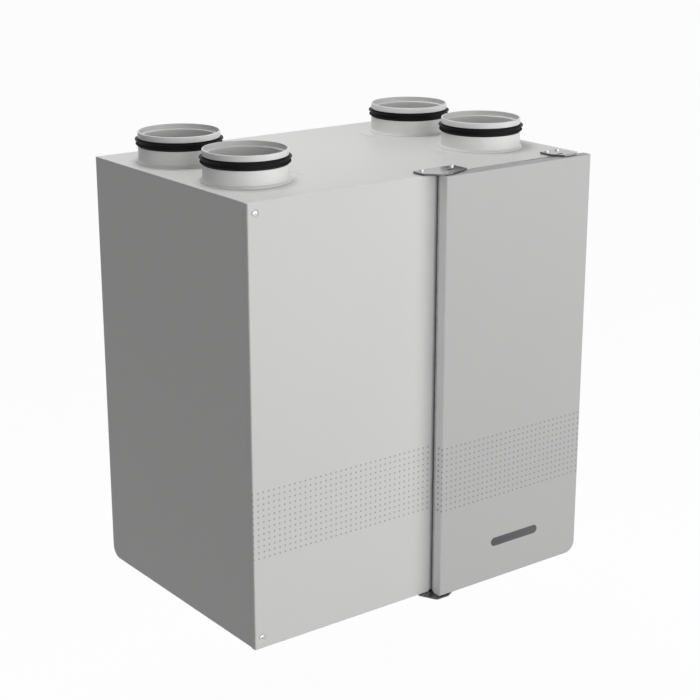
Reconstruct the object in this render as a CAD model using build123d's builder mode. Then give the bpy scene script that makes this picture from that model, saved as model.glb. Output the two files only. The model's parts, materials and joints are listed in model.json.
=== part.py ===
from build123d import *
import os
from math import cos, radians, sin, sqrt

# Wall-hung heat recovery ventilation unit, in millimetres.
# The origin is the centre of the wall rail's fixing holes, on the wall plane.
# X runs to the right seen from the front, Y into the wall, Z up.

os.makedirs("parts", exist_ok=True)

# ---------------------------------------------------------------- driving sizes
casing_width = 740.0
casing_depth = 500.0
casing_height = 795.0
sheet = 1.0  # folded steel sheet
seam = 0.3  # gap left between neighbouring sheets and mouldings
wall_standoff = 15.0  # casing back to wall
rail_drop = 90.0  # casing top to the wall rail's holes
lower_back_radius = 22.0  # rolled edge between bottom and back
roll_flange = 15.0  # flat part of the back sheet under the casing

# fixed front panel
front_panel_width = 393.5
front_tray_depth = 12.0
front_panel_drop = 2.0  # hangs below the casing
front_panel_edge = 2.5  # bend radius seen on its edges
panel_screw_inset = 15.0
panel_screw_rise = 18.5
dimple_radius = 8.0
dimple_depth = 1.8
screw_shank = 2.0
panel_screw_head = 5.5

# hinged door
door_gap = 1.5  # between the fixed panel and the door
door_standoff = 4.5  # air behind the door
door_thickness = 25.0
door_overlap_right = 1.0
door_over_top = 0.5
door_under_bottom = 1.0
door_skin_depth = 19.0
door_edge_radius = 1.6
door_top_corner = 5.0
door_bottom_corner = 22.0
liner_inset = 1.3
hinge_inset = 10.0  # pivot to the door's left edge
pin_radius = 3.0
pin_fit = 0.05
bush_radius = 5.2
bush_length = 16.0
bush_flange_radius = 7.5
bush_flange = 0.7
door_swing_room = 3.5  # door frame set back behind the front plane

# door frame and opening
opening_margin_left = 30.0
opening_margin_right = 22.0
opening_margin_bottom = 40.0
opening_margin_top = 60.0
gasket_width = 9.0

# hinge and catch brackets
bracket_thickness = 3.0
bracket_lift = 1.0  # air between the door and a bracket arm
bracket_left_reach = 30.0  # left of the door edge
bracket_right_reach = 64.0
bracket_front_reach = 22.5
bracket_back_reach = 30.0
bracket_nose = 9.0  # beside the pivot
lower_bracket_reach = 32.5
lower_bracket_left = 25.0
catch_width = 47.0
catch_inset = 26.0  # its right edge, in from the casing side
bracket_screw_head = 4.2
magnet_radius = 5.0
magnet_thickness = 2.0

# duct spigots and their lip seals
spigot_radius = 74.5  # takes a nominal 150 mm duct
spigot_height = 55.0
spigot_wall = 2.6
spigot_neck = 20.0  # below the top panel
spigot_side_inset = 104.0
spigot_front_row = 160.0
spigot_row_pitch = 216.0
foot_radius = 79.0
foot_height = 1.5
groove_low = 29.0
groove_high = 44.8
groove_depth = 3.2
seal_radius = 79.6
lower_lip_radius = 78.4

# wall rail and hanger
rail_length = 600.0
rail_sheet = 2.0
rail_hole_radius = 4.25
rail_hole_span = 500.0
rail_hole_rise = 28.0
buffer_radius = 14.0
buffer_side_inset = 70.0
buffer_rise = 70.0

# foam core
core_gap = 0.5
core_cover = 24.0
fold_room = 2.0  # a sheet and the flange folded behind it
upper_core_height = 170.0
chamber_wall = 22.0

# counterflow exchanger
exchanger_half_width = 128.0
exchanger_length = 340.0
exchanger_footroom = 122.0  # under its lower corner, for the drain chambers
exchanger_headroom = 87.0  # over its upper corner, for the air from the ducts
exchanger_pitch = 10.0
exchanger_plate = 0.8
exchanger_end_plate = 4.0
exchanger_rail = 9.0
exchanger_fit = 2.0

# filters
filter_margin = 16.0  # a filter is narrower than the exchanger face it covers
filter_thickness = 25.0
filter_stand = 6.0  # off the exchanger face
filter_rim = 8.0
filter_fit = 1.5
pleat_pitch = 10.0
pleat_sheet = 1.2

# fans
fan_offset = 13.0  # fan axis left of the fan bay's middle
fan_rise = 330.0
fan_width = 90.0
fan_wall = 2.5
scroll_start = 108.0
scroll_growth = 44.0
scroll_room = 3.0  # between a fan and its bay
impeller_radius = 95.0
impeller_width = 62.0
impeller_hub = 44.0
inlet_radius = 66.0
blade_count = 7
blade_sheet = 2.0
motor_radius = 38.0
motor_length = 30.0
fan_shaft = 4.0
fan_outlet_rise = 165.0
front_fan_setback = 62.0
rear_fan_setback = 332.0

# bypass
bypass_width = 110.0
bypass_depth = 62.0
bypass_setback = 391.0
bypass_frame_height = 24.0
flap_sheet = 2.0
flap_shaft = 3.0
flap_fit = 1.0

# condensate and electrics
tray_height = 34.0
tray_wall = 2.0
drain_radius = 16.0
drain_wall = 2.0
drain_drop = 32.0
control_width = 300.0
control_height = 120.0
control_depth = 62.0
control_wall = 2.0
gland_radius = 10.0
gland_bore = 4.5
gland_drop = 20.0

# ---------------------------------------------------------------- derived places
left_x, right_x = -casing_width / 2, casing_width / 2
back_y = -wall_standoff
front_y = back_y - casing_depth
top_z = rail_drop
bottom_z = top_z - casing_height
body_front_y = front_y + front_tray_depth + seam  # where side, top and bottom sheets begin
frame_front_y = front_y + door_swing_room

panel_right_x = left_x + front_panel_width
door_left_x = panel_right_x + door_gap
door_right_x = right_x + door_overlap_right
door_top_z = top_z + door_over_top
door_bottom_z = bottom_z - door_under_bottom
door_back_y = front_y - door_standoff
door_front_y = door_back_y - door_thickness
pivot_x = door_left_x + hinge_inset
pivot_y = door_back_y - door_thickness / 2

frame_left_x = panel_right_x + 2 * seam
opening_left = frame_left_x + opening_margin_left
opening_right = right_x - opening_margin_right
opening_bottom = bottom_z + opening_margin_bottom
opening_top = top_z - opening_margin_top

core_left_x = left_x + fold_room * sheet + core_gap
core_right_x = right_x - fold_room * sheet - core_gap
core_bottom_z = bottom_z + sheet + core_gap
core_top_z = top_z - fold_room * sheet - core_gap
core_front_y = body_front_y + sheet + core_gap
core_back_y = back_y - fold_room * sheet - core_gap
core_split_x = frame_left_x
block_front_y = core_front_y + core_cover + core_gap
upper_split_z = top_z - upper_core_height

exchanger_x = (opening_left + opening_right) / 2
exchanger_apex = (upper_split_z - exchanger_headroom - bottom_z - exchanger_footroom) / 2
exchanger_side = 2 * (exchanger_apex - exchanger_half_width)  # height of its upright sides
exchanger_z = bottom_z + exchanger_footroom + exchanger_apex
filter_width = exchanger_half_width * sqrt(2) - filter_margin
exchanger_front_y = core_front_y + 8.0
exchanger_back_y = exchanger_front_y + exchanger_length

spigot_rows = (front_y + spigot_front_row, front_y + spigot_front_row + spigot_row_pitch)
spigot_columns = (left_x + spigot_side_inset, right_x - spigot_side_inset)
spigot_bore = spigot_radius - spigot_wall
spigot_hole = spigot_radius - 0.5

fan_x = (core_left_x + core_split_x) / 2 - fan_offset
fan_z = bottom_z + fan_rise


def span_box(xs, ys, zs, mode=Mode.ADD):
    """A box between two limits on each axis, in the part being built."""
    with Locations(((xs[0] + xs[1]) / 2, (ys[0] + ys[1]) / 2, (zs[0] + zs[1]) / 2)):
        Box(xs[1] - xs[0], ys[1] - ys[0], zs[1] - zs[0], mode=mode)


def upright_bore(x, y, z_low, z_high, radius, mode=Mode.SUBTRACT):
    """A round hole, or with another mode a round bar, standing along Z."""
    with Locations((x, y, (z_low + z_high) / 2)):
        Cylinder(radius, z_high - z_low, mode=mode)


def facing(y, x=0.0, z=0.0):
    """A plane that faces the front at depth y, with X to the right and Z up."""
    return Plane(origin=(x, y, z), x_dir=(1, 0, 0), z_dir=(0, -1, 0))


def save(part, name):
    part.label = name
    export_step(part, f"parts/{name}.step")


# ---------------------------------------------------------------- casing sheets
side_flange = 20.0
top_flange = 15.0


def side_panel(outer_x, inward):
    inner_x = outer_x + inward * sheet
    flange_x = sorted((inner_x, outer_x + inward * side_flange))
    narrow_x = sorted((inner_x, outer_x + inward * top_flange))
    panel_top = top_z - sheet
    with BuildPart() as panel:
        with BuildSketch(Plane.YZ.offset(min(outer_x, inner_x))) as outline:
            with Locations(((body_front_y + back_y) / 2, (bottom_z + panel_top) / 2)):
                Rectangle(back_y - body_front_y, panel_top - bottom_z)
            rear = outline.vertices().group_by(Axis.X)[-1].sort_by(Axis.Y)[0]
            fillet(rear, lower_back_radius)
        extrude(amount=sheet)
        low_z = bottom_z + lower_back_radius + 2 * sheet
        span_box(flange_x, (body_front_y, body_front_y + sheet), (low_z, panel_top))
        span_box(narrow_x, (body_front_y, back_y - sheet), (panel_top - sheet, panel_top))
        span_box(narrow_x, (back_y - 2 * sheet, back_y - sheet), (low_z, panel_top))
    return panel.part


for side_name, outer_x, inward in (("left", left_x, 1), ("right", right_x, -1)):
    save(side_panel(outer_x, inward), f"{side_name}_side_panel")

panel_screw_x = left_x + panel_screw_inset
panel_screw_heights = (bottom_z + panel_screw_rise, top_z - panel_screw_rise)

with BuildPart() as top_panel:
    span_box((left_x, right_x), (body_front_y, back_y), (top_z - sheet, top_z))
    for column in spigot_columns:
        for row in spigot_rows:
            upright_bore(column, row, top_z - 2 * sheet, top_z + sheet, spigot_hole)
save(top_panel.part, "top_panel")

drain_x = exchanger_x
drain_y = front_y + 330.0
gland_x = left_x + 70.0
gland_y = front_y + 60.0

sheet_left = left_x + sheet + seam / 2
sheet_right = right_x - sheet - seam / 2
roll_front_y = back_y - lower_back_radius - roll_flange

with BuildPart() as bottom_panel:
    span_box((sheet_left, sheet_right), (body_front_y, roll_front_y - seam), (bottom_z, bottom_z + sheet))
    upright_bore(drain_x, drain_y, bottom_z - sheet, bottom_z + 2 * sheet, drain_radius + 3.0)
    upright_bore(gland_x, gland_y, bottom_z - sheet, bottom_z + 2 * sheet, gland_radius + 0.2)
save(bottom_panel.part, "bottom_panel")

# The back sheet rolls forward under the casing and ends in a short flange.
with BuildPart() as back_panel:
    back_top_z = top_z - sheet - seam
    with BuildSketch(Plane.YZ.offset(sheet_left)) as outer:
        with Locations(((roll_front_y + back_y) / 2, (bottom_z + back_top_z) / 2)):
            Rectangle(back_y - roll_front_y, back_top_z - bottom_z)
        fillet(outer.vertices().group_by(Axis.X)[-1].sort_by(Axis.Y)[0], lower_back_radius)
    extrude(amount=sheet_right - sheet_left)
    with BuildSketch(Plane.YZ.offset(sheet_left - sheet)) as inner:
        with Locations(((roll_front_y + back_y) / 2 - sheet, (bottom_z + back_top_z) / 2 + sheet)):
            Rectangle(back_y - roll_front_y, back_top_z - bottom_z)
        fillet(inner.vertices().group_by(Axis.X)[-1].sort_by(Axis.Y)[0], lower_back_radius - sheet)
    extrude(amount=sheet_right - sheet_left + 2 * sheet, mode=Mode.SUBTRACT)
save(back_panel.part, "back_panel")

# The fixed front panel is a shallow tray with dimpled screw seats on its left edge.
panel_bottom_z = bottom_z - front_panel_drop
panel_mid = ((left_x + panel_right_x) / 2, (panel_bottom_z + top_z) / 2)
panel_height = top_z - panel_bottom_z
with BuildPart() as front_panel:
    with BuildSketch(facing(front_y + front_tray_depth)):
        with Locations(panel_mid):
            Rectangle(front_panel_width, panel_height)
    extrude(amount=front_tray_depth)
    front_rim = front_panel.faces().sort_by(Axis.Y)[0].edges()
    fillet(front_rim, front_panel_edge)
    fillet(front_panel.edges().filter_by(Axis.Y), 1.2)
    with BuildSketch(facing(front_y + front_tray_depth)):
        with Locations(panel_mid):
            Rectangle(front_panel_width - 2 * sheet, panel_height - 2 * sheet)
    extrude(amount=front_tray_depth - sheet, mode=Mode.SUBTRACT)
    for height in panel_screw_heights:
        with BuildSketch(facing(front_y + 2 * sheet + dimple_depth, panel_screw_x, height)):
            Circle(dimple_radius + sheet)
        extrude(amount=sheet + dimple_depth)
        with BuildSketch(facing(front_y, panel_screw_x, height)) as mouth:
            Circle(dimple_radius)
        with BuildSketch(facing(front_y + dimple_depth, panel_screw_x, height)) as seat:
            Circle(panel_screw_head)
        loft(sections=[mouth.sketch.face(), seat.sketch.face()], mode=Mode.SUBTRACT)
        with BuildSketch(facing(front_y + front_tray_depth, panel_screw_x, height)):
            Circle(screw_shank + 0.3)
        extrude(amount=front_tray_depth, mode=Mode.SUBTRACT)
save(front_panel.part, "front_panel")

with BuildPart() as front_panel_screws:
    seat_y = front_y + dimple_depth
    for height in panel_screw_heights:
        with BuildSketch(facing(seat_y, panel_screw_x, height)):
            Circle(panel_screw_head - 0.3)
        extrude(amount=2.6)
        with BuildSketch(facing(body_front_y - 0.2, panel_screw_x, height)):
            Circle(screw_shank)
        extrude(amount=body_front_y - 0.2 - seat_y)
    heads = front_panel_screws.faces().filter_by(Axis.Y).group_by(Axis.Y)[0].edges()
    fillet(heads, 1.6)
    for height in panel_screw_heights:
        with BuildSketch(facing(seat_y - 1.0, panel_screw_x, height)):
            RegularPolygon(1.9, 6)
        extrude(amount=3.0, mode=Mode.SUBTRACT)
save(front_panel_screws.part, "front_panel_screws")

# ---------------------------------------------------------------- door frame and gasket
opening_mid = ((opening_left + opening_right) / 2, (opening_bottom + opening_top) / 2)
opening_size = (opening_right - opening_left, opening_top - opening_bottom)
frame_depth = body_front_y - seam - frame_front_y
frame_mid = ((frame_left_x + right_x) / 2, (bottom_z + top_z) / 2)
frame_size = (right_x - frame_left_x, casing_height)

with BuildPart() as whole_frame:
    with BuildSketch(facing(frame_front_y + frame_depth)):
        with Locations(frame_mid):
            Rectangle(*frame_size)
    extrude(amount=frame_depth)
    lower_corner = whole_frame.edges().filter_by(Axis.Y).group_by(Axis.Z)[0].sort_by(Axis.X)[-1]
    fillet(lower_corner, door_bottom_corner)
    with BuildSketch(facing(frame_front_y + frame_depth)) as hollow:
        with Locations(frame_mid):
            Rectangle(frame_size[0] - 2 * sheet, frame_size[1] - 2 * sheet)
        fillet(hollow.vertices().group_by(Axis.Y)[0].sort_by(Axis.X)[-1], door_bottom_corner - sheet)
    extrude(amount=frame_depth - sheet, mode=Mode.SUBTRACT)
    with BuildSketch(facing(frame_front_y + frame_depth)):
        with Locations(opening_mid):
            Rectangle(*opening_size)
    extrude(amount=frame_depth, mode=Mode.SUBTRACT)

# The frame is welded from two posts that run its whole height and two rails between them.
frame_y = (frame_front_y - 1, body_front_y)
frame_z = (bottom_z - 1, top_z + 1)
with BuildPart() as door_frame_posts:
    add(whole_frame.part)
    span_box((opening_left, opening_right), frame_y, frame_z, mode=Mode.SUBTRACT)
save(door_frame_posts.part, "door_frame_posts")

with BuildPart() as door_frame_rails:
    add(whole_frame.part)
    span_box((frame_left_x - 1, opening_left), frame_y, frame_z, mode=Mode.SUBTRACT)
    span_box((opening_right, right_x + 1), frame_y, frame_z, mode=Mode.SUBTRACT)
save(door_frame_rails.part, "door_frame_rails")

gasket_thickness = door_swing_room + door_standoff - 0.4
gasket_y = (frame_front_y - gasket_thickness, frame_front_y)
with BuildPart() as door_gasket:
    for inner, side in ((opening_left, -1), (opening_right, 1)):
        strip_x = sorted((inner, inner + side * gasket_width))
        span_box(strip_x, gasket_y, (opening_bottom - gasket_width, opening_top + gasket_width))
    fillet(door_gasket.faces().filter_by(Axis.Y).group_by(Axis.Y)[0].edges().filter_by(Axis.Z), 1.5)
    for inner, side in ((opening_bottom, -1), (opening_top, 1)):
        strip_z = sorted((inner, inner + side * gasket_width))
        span_box((opening_left + seam, opening_right - seam), gasket_y, strip_z)
    across = door_gasket.faces().filter_by(Axis.Y).group_by(Axis.Y)[0].edges().filter_by(Axis.X)
    fillet(across.filter_by(lambda edge: edge.length > 2 * gasket_width), 1.5)
save(door_gasket.part, "door_gasket")

# ---------------------------------------------------------------- door
door_size = (door_right_x - door_left_x, door_top_z - door_bottom_z)
door_mid = ((door_left_x + door_right_x) / 2, (door_top_z + door_bottom_z) / 2)


def door_slab(near_y, depth, inset):
    """The door's outline, taken in by inset and extruded forwards from near_y."""
    with BuildPart() as slab:
        with BuildSketch(facing(near_y)) as outline:
            with Locations(door_mid):
                Rectangle(door_size[0] - 2 * inset, door_size[1] - 2 * inset)
            right_corners = outline.vertices().group_by(Axis.X)[-1].sort_by(Axis.Y)
            fillet(right_corners[0], door_bottom_corner - inset)
            fillet(right_corners[-1], door_top_corner - inset)
        extrude(amount=depth)
    return slab.part


bush_places = (
    (door_top_z - bush_length, door_top_z, 1),
    (door_bottom_z, door_bottom_z + bush_length, -1),
)

with BuildPart() as door_skin:
    add(door_slab(door_front_y + door_skin_depth, door_skin_depth, 0))
    fillet(door_skin.faces().sort_by(Axis.Y)[0].edges(), door_edge_radius)
    add(door_slab(door_front_y + door_skin_depth, door_skin_depth - sheet, sheet), mode=Mode.SUBTRACT)
    for low, high, _ in bush_places:
        upright_bore(pivot_x, pivot_y, low, high, bush_radius + 0.1)
save(door_skin.part, "door_skin")

liner_depth = door_thickness - door_skin_depth + 6.0
with BuildPart() as door_liner:
    add(door_slab(door_back_y, liner_depth, liner_inset))
    add(door_slab(door_back_y - sheet, liner_depth, liner_inset + sheet), mode=Mode.SUBTRACT)
    for low, high, _ in bush_places:
        upright_bore(pivot_x, pivot_y, low, high, bush_radius + 0.1)
save(door_liner.part, "door_liner")

insulation_inset = liner_inset + sheet + 2 * seam
with BuildPart() as door_insulation:
    insulation_depth = door_thickness - 2 * sheet - 2 * seam
    add(door_slab(door_back_y - sheet - seam, insulation_depth, insulation_inset))
    for low, high, _ in bush_places:
        upright_bore(pivot_x, pivot_y, low, high, bush_radius + 0.5)
save(door_insulation.part, "door_insulation")

with BuildPart() as door_bushes:
    for low, high, up in bush_places:
        upright_bore(pivot_x, pivot_y, low, high, bush_radius, mode=Mode.ADD)
        outer = high if up > 0 else low
        flange = sorted((outer, outer + up * bush_flange))
        upright_bore(pivot_x, pivot_y, *flange, bush_flange_radius, mode=Mode.ADD)
        blind = sorted((outer + up * 2 * bush_flange, outer - up * (bush_length - 3.0)))
        upright_bore(pivot_x, pivot_y, *blind, pin_radius + pin_fit)
save(door_bushes.part, "door_bushes")

# ---------------------------------------------------------------- hinge and catch brackets
bracket_foot_y = body_front_y
bracket_left_x = door_left_x - bracket_left_reach
bracket_right_x = door_left_x + bracket_right_reach
pin_depth = bush_length - 5.0


def hinge_bracket(up, front_reach, left_limit, face_z, door_edge_z):
    """A plate that is screwed to the casing at face_z and reaches over the door's edge."""
    near_z = door_edge_z + up * bracket_lift
    far_z = near_z + up * bracket_thickness
    arm_front_y = front_y - front_reach
    arm_back_y = front_y + bracket_back_reach
    with BuildPart() as bracket:
        with BuildSketch(Plane.XY.offset(min(face_z, far_z))) as plan:
            with BuildLine():
                Polyline(
                    (left_limit, front_y), (door_left_x - bracket_nose, arm_front_y),
                    (pivot_x + bracket_nose, arm_front_y), (bracket_right_x, front_y - bracket_nose),
                    (bracket_right_x, arm_back_y), (left_limit, arm_back_y), close=True)
            make_face()
            fillet(plan.vertices().group_by(Axis.Y)[0], 8.0)
            fillet(plan.vertices().group_by(Axis.X)[0], 4.0)
            fillet(plan.vertices().group_by(Axis.X)[-1], 4.0)
        extrude(amount=abs(far_z - face_z))
        arm_room = sorted((face_z - up, near_z))
        span_box(
            (left_limit - 1, bracket_right_x + 1), (arm_front_y - 1, bracket_foot_y),
            arm_room, mode=Mode.SUBTRACT)
        rim = bracket.faces().sort_by(Axis.Z)[-1 if up > 0 else 0].outer_wire().edges()
        fillet(rim, 0.8)
        deep = sorted((face_z - up, far_z + up))
        upright_bore(pivot_x, pivot_y, *deep, pin_radius + 0.01)
        for x, y in bracket_screw_places(left_limit):
            upright_bore(x, y, *deep, screw_shank + 0.2)
        with BuildSketch(Plane.XY.offset(deep[0])):
            with Locations((pivot_x + 20.0, front_y)):
                SlotOverall(14.0, 5.0)
        extrude(amount=deep[1] - deep[0], mode=Mode.SUBTRACT)
    return bracket.part


def bracket_screw_places(left_limit):
    screw_y = (bracket_foot_y + front_y + bracket_back_reach) / 2
    return ((left_limit + 14.0, screw_y), (bracket_right_x - 12.0, screw_y))


lower_left_x = door_left_x - lower_bracket_left
top_bracket = hinge_bracket(1, bracket_front_reach, bracket_left_x, top_z, door_top_z)
save(top_bracket, "top_hinge_bracket")
bottom_bracket = hinge_bracket(-1, lower_bracket_reach, lower_left_x, bottom_z, door_bottom_z)
save(bottom_bracket, "bottom_hinge_bracket")

top_bracket_z = door_top_z + bracket_lift + bracket_thickness
bottom_bracket_z = door_bottom_z - bracket_lift - bracket_thickness

with BuildPart() as hinge_pins:
    for far_z, edge_z, up in ((top_bracket_z, door_top_z, 1), (bottom_bracket_z, door_bottom_z, -1)):
        upright_bore(
            pivot_x, pivot_y, *sorted((far_z, edge_z - up * pin_depth)), pin_radius, mode=Mode.ADD)
save(hinge_pins.part, "hinge_pins")

catch_right_x = right_x - catch_inset
catch_left_x = catch_right_x - catch_width
catch_mid_x = (catch_left_x + catch_right_x) / 2
with BuildPart() as catch_bracket:
    catch_front_y = front_y - bracket_front_reach
    catch_back_y = front_y + bracket_back_reach
    with BuildSketch(Plane.XY.offset(top_z)) as plan:
        with BuildLine():
            Polyline(
                (catch_left_x, front_y), (catch_left_x + 14.0, catch_front_y),
                (catch_right_x, catch_front_y), (catch_right_x, catch_back_y),
                (catch_left_x, catch_back_y), close=True)
        make_face()
        fillet(plan.vertices().group_by(Axis.X)[0], 4.0)
        fillet(plan.vertices().group_by(Axis.X)[-1], 6.0)
    extrude(amount=top_bracket_z - top_z)
    span_box(
        (catch_left_x - 1, catch_right_x + 1), (catch_front_y - 1, bracket_foot_y),
        (top_z - 1, door_top_z + bracket_lift), mode=Mode.SUBTRACT)
    fillet(catch_bracket.faces().sort_by(Axis.Z)[-1].outer_wire().edges(), 0.8)
    magnet_place = (catch_mid_x + 12.0, door_back_y - 6.0)
    catch_low = door_top_z + bracket_lift
    upright_bore(*magnet_place, catch_low - 1, catch_low + magnet_thickness, magnet_radius + 0.05)
    catch_screw_y = (bracket_foot_y + catch_back_y) / 2
    catch_screws = ((catch_mid_x - 13.0, catch_screw_y), (catch_mid_x + 13.0, catch_screw_y))
    for x, y in catch_screws:
        upright_bore(x, y, top_z - 1, top_bracket_z + 1, screw_shank + 0.2)
    with BuildSketch(Plane.XY.offset(top_z - 1)):
        with Locations((catch_mid_x - 8.0, front_y - 8.0)):
            SlotOverall(14.0, 5.0)
    extrude(amount=top_bracket_z - top_z + 2, mode=Mode.SUBTRACT)
save(catch_bracket.part, "catch_bracket")

with BuildPart() as catch_magnet:
    upright_bore(*magnet_place, catch_low, catch_low + magnet_thickness, magnet_radius, mode=Mode.ADD)
save(catch_magnet.part, "catch_magnet")

with BuildPart() as bracket_screws:
    upper = [(x, y, 1) for x, y in (*bracket_screw_places(bracket_left_x), *catch_screws)]
    lower = [(x, y, -1) for x, y in bracket_screw_places(lower_left_x)]
    for x, y, up in upper + lower:
        face = top_bracket_z if up > 0 else bottom_bracket_z
        casing_face = top_z if up > 0 else bottom_z
        upright_bore(x, y, *sorted((face, face + up * 2.0)), bracket_screw_head, mode=Mode.ADD)
        upright_bore(x, y, *sorted((face, casing_face)), screw_shank, mode=Mode.ADD)
        upright_bore(x, y, *sorted((face + up * 1.0, face + up * 3.0)), 1.2)
save(bracket_screws.part, "bracket_screws")

# ---------------------------------------------------------------- wall rail, hanger, buffers
shelf_z = rail_hole_rise / 2 + 8.0
hook_gap = 6.0
rail_half = rail_length / 2
with BuildPart() as wall_rail:
    lip_y = -rail_sheet - hook_gap
    span_box((-rail_half, rail_half), (-rail_sheet, 0), (-rail_hole_rise / 2 - 12.0, shelf_z))
    span_box((-rail_half, rail_half), (lip_y - rail_sheet, 0), (shelf_z, shelf_z + rail_sheet))
    span_box(
        (-rail_half, rail_half), (lip_y - rail_sheet, lip_y),
        (shelf_z + rail_sheet, shelf_z + 14.0))
    with BuildSketch(facing(rail_sheet)):
        with GridLocations(rail_hole_span, rail_hole_rise, 2, 2):
            Circle(rail_hole_radius)
    extrude(amount=3 * rail_sheet, mode=Mode.SUBTRACT)
save(wall_rail.part, "wall_rail")

with BuildPart() as hanger_rail:
    hook_half = rail_half - 10.0
    hook_top = shelf_z + 26.0
    hook_y = -rail_sheet - hook_gap / 2
    plate_y = (back_y, back_y + rail_sheet)
    span_box((-hook_half, hook_half), plate_y, (shelf_z - 16.0, hook_top))
    span_box(
        (-hook_half, hook_half), (back_y, hook_y + rail_sheet / 2),
        (hook_top, hook_top + rail_sheet))
    span_box(
        (-hook_half, hook_half), (hook_y - rail_sheet / 2, hook_y + rail_sheet / 2),
        (shelf_z + rail_sheet, hook_top))
save(hanger_rail.part, "hanger_rail")

with BuildPart() as wall_buffers:
    for x in (left_x + buffer_side_inset, right_x - buffer_side_inset):
        with BuildSketch(facing(0, x, bottom_z + buffer_rise)):
            Circle(buffer_radius)
        extrude(amount=wall_standoff)
    fillet(wall_buffers.faces().filter_by(Axis.Y).group_by(Axis.Y)[-1].edges(), 2.0)
save(wall_buffers.part, "wall_buffers")

# ---------------------------------------------------------------- duct spigots and lip seals
groove_outer = spigot_radius - groove_depth
groove_inner = spigot_bore - groove_depth


def duct_spigot(x, y):
    with BuildPart() as spigot:
        with BuildSketch(Plane(origin=(x, y, top_z), x_dir=(1, 0, 0), z_dir=(0, -1, 0))):
            with BuildLine():
                Polyline(
                    (spigot_hole - 0.4, -spigot_neck), (spigot_hole - 0.4, 0), (foot_radius, 0),
                    (foot_radius, foot_height), (spigot_radius + 1.0, foot_height + 2.5),
                    (spigot_radius, foot_height + 6.0), (spigot_radius, groove_low),
                    (groove_outer, groove_low), (groove_outer, groove_high),
                    (spigot_radius, groove_high), (spigot_radius, spigot_height - 0.8),
                    (spigot_radius - 0.8, spigot_height), (spigot_bore, spigot_height),
                    (spigot_bore, groove_high + 1.0), (groove_inner, groove_high),
                    (groove_inner, groove_low), (spigot_bore, groove_low - spigot_wall),
                    (spigot_bore, -spigot_neck), close=True)
            make_face()
        revolve(axis=Axis((x, y, top_z), (0, 0, 1)))
    return spigot.part


def lip_seal(x, y):
    low, high = groove_low + 0.3, groove_high - 0.3
    mid = (low + high) / 2
    base = groove_outer + 0.2
    band = spigot_radius - 0.6
    with BuildPart() as seal:
        with BuildSketch(Plane(origin=(x, y, top_z), x_dir=(1, 0, 0), z_dir=(0, -1, 0))):
            with BuildLine():
                Polyline(
                    (base, low), (band, low), (lower_lip_radius, low + 3.2), (lower_lip_radius, low + 4.6),
                    (band, low + 4.2), (band, mid + 1.0), (seal_radius, mid + 3.4),
                    (seal_radius, mid + 4.8), (band, mid + 4.4), (band, high), (base, high),
                    close=True)
            make_face()
        revolve(axis=Axis((x, y, top_z), (0, 0, 1)))
    return seal.part


ports = {
    "supply": (spigot_columns[0], spigot_rows[0]),
    "exhaust": (spigot_columns[0], spigot_rows[1]),
    "outdoor": (spigot_columns[1], spigot_rows[0]),
    "extract": (spigot_columns[1], spigot_rows[1]),
}
for port, place in ports.items():
    save(duct_spigot(*place), f"{port}_spigot")
    save(lip_seal(*place), f"{port}_seal")

# ---------------------------------------------------------------- exchanger side of the core
right_block_left = core_split_x + core_gap / 2
ex, ez = exchanger_x, exchanger_z
half, side = exchanger_half_width, exchanger_side / 2
wall_x = core_right_x - chamber_wall
filter_outer = exchanger_apex + (filter_stand + filter_thickness) * sqrt(2)
partition = 8.0
tunnel_low = bottom_z + 50.0
tunnel_high = bottom_z + 86.0
chamber_floor = bottom_z + 98.0
cavity_back_y = exchanger_back_y + 6.0
bypass_left = ex - half + 8.0
bypass_back_y = front_y + bypass_setback + bypass_depth


def hexagon(grow):
    """Corners of the exchanger's section about its centre, grown by a margin."""
    slope = grow * sqrt(2)
    reach = half + grow
    shoulder = side + half + slope - reach
    apex = exchanger_apex + slope
    return (
        (reach, -shoulder), (reach, shoulder), (0, apex),
        (-reach, shoulder), (-reach, -shoulder), (0, -apex))


def filter_centre(hand):
    """Centre of a filter's section, hand being -1 for the left one and 1 for the right one."""
    out = (filter_stand + filter_thickness / 2) / sqrt(2)
    return (ex + hand * (half / 2 + out), ez + side + half / 2 + out)


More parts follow.
